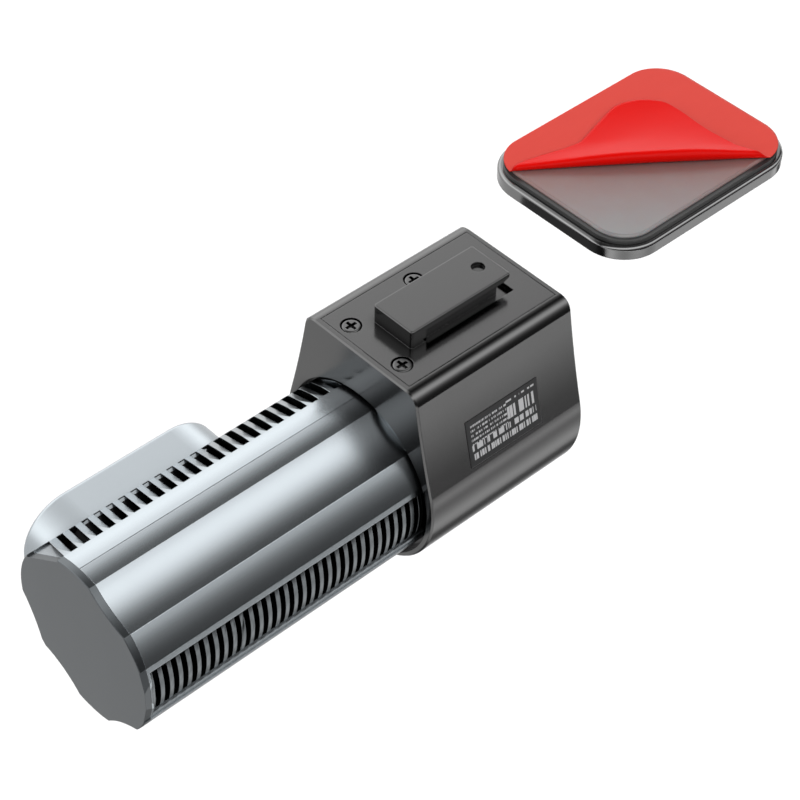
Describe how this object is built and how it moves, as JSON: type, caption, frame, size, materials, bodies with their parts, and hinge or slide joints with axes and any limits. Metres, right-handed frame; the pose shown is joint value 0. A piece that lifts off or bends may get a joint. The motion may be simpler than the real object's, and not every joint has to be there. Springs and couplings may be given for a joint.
{
  "type": "dash camera",
  "caption": "Windscreen dash camera: a fluted barrel camera that turns on a housing block, with a rail that slides into an adhesive windscreen bracket.",
  "frame": {"origin": "centre of the bracket's adhesive face, which goes on the windscreen", "axes": "+X along the barrel axis from the barrel's free end to the bracket, +Y the way the lens looks at rest, +Z out of the adhesive face towards the windscreen"},
  "size_m": [0.1615, 0.044, 0.059],
  "materials": {
    "gunmetal_gloss": "smooth, glossy",
    "spring_steel": "rolled strip",
    "black_rubber": "matt",
    "foam_tape": "tacky, slightly translucent",
    "red_film": "thin glossy film",
    "dark_plastic": "fine satin texture",
    "barrel_plastic": "satin, metallic grey",
    "black_plastic": "fine texture",
    "black_gloss": "polished",
    "screw_steel": "bright zinc",
    "label_film": "satin printed film",
    "circuit_board": "solder mask",
    "bare_steel": "stamped",
    "capacitor_sleeve": "shrink sleeve",
    "bearing_brass": "turned",
    "cable_jacket": "matt",
    "lens_glass": "coated",
    "chip_epoxy": "moulded",
    "heat_sink_aluminium": "extruded",
    "flex_film": "polyimide",
    "clear_plastic": "light pipe"
  },
  "bodies": {
    "bracket": {"bracket_plate": "gunmetal_gloss", "detent_spring": "spring_steel", "pad_border": "black_rubber", "adhesive_pad": "foam_tape", "release_liner": "red_film"},
    "housing": {"mount_housing": "dark_plastic", "rail_cover": "dark_plastic", "cover_screws": "screw_steel", "rating_label": "label_film", "power_board": "circuit_board", "power_board_screws": "screw_steel", "usb_socket": "bare_steel", "supercapacitors": "capacitor_sleeve", "pivot_bush": "black_plastic", "link_cable": "cable_jacket", "button_board": "circuit_board", "tact_switch": "bare_steel", "button_board_screws": "screw_steel"},
    "barrel": {"rear_shell": "barrel_plastic", "front_shell": "barrel_plastic", "end_cap": "barrel_plastic", "pivot_shaft": "bearing_brass", "friction_washer": "spring_steel", "retaining_nut": "bearing_brass", "shaft_screws": "screw_steel", "lens_pod": "barrel_plastic", "front_panel": "black_gloss", "lens_ring": "black_plastic", "lens_barrel": "black_plastic", "lens_front_element": "lens_glass", "lens_inner_elements": "lens_glass", "lens_holder": "black_plastic", "sensor_board": "circuit_board", "image_sensor": "chip_epoxy", "sensor_board_screws": "screw_steel", "status_light": "clear_plastic", "microphone": "bare_steel", "main_board": "circuit_board", "main_board_screws": "screw_steel", "processor": "chip_epoxy", "heat_sink": "heat_sink_aluminium", "speaker": "black_plastic", "link_socket": "black_plastic", "sensor_flex": "flex_film", "card_socket": "bare_steel"},
    "record_button": {"record_button": "black_plastic"},
    "memory_card": {"memory_card": "black_plastic"}
  },
  "joints": [
    {"name": "bracket_slide", "type": "slide", "parent": "bracket", "child": "housing", "axis": [1, 0, 0], "range_m": [0, 0.0506]},
    {"name": "barrel_pitch", "type": "hinge", "parent": "housing", "child": "barrel", "pos_m": [-0.0725, 0, -0.03695], "axis": [1, 0, 0], "range_deg": [-60, 60]},
    {"name": "record_press", "type": "slide", "parent": "housing", "child": "record_button", "axis": [-1, 0, 0], "range_m": [0, 0.0005], "stiffness_N_per_m": 300},
    {"name": "card_slide", "type": "slide", "parent": "barrel", "child": "memory_card", "axis": [0, 0, -1], "range_m": [0, 0.012]}
  ]
}
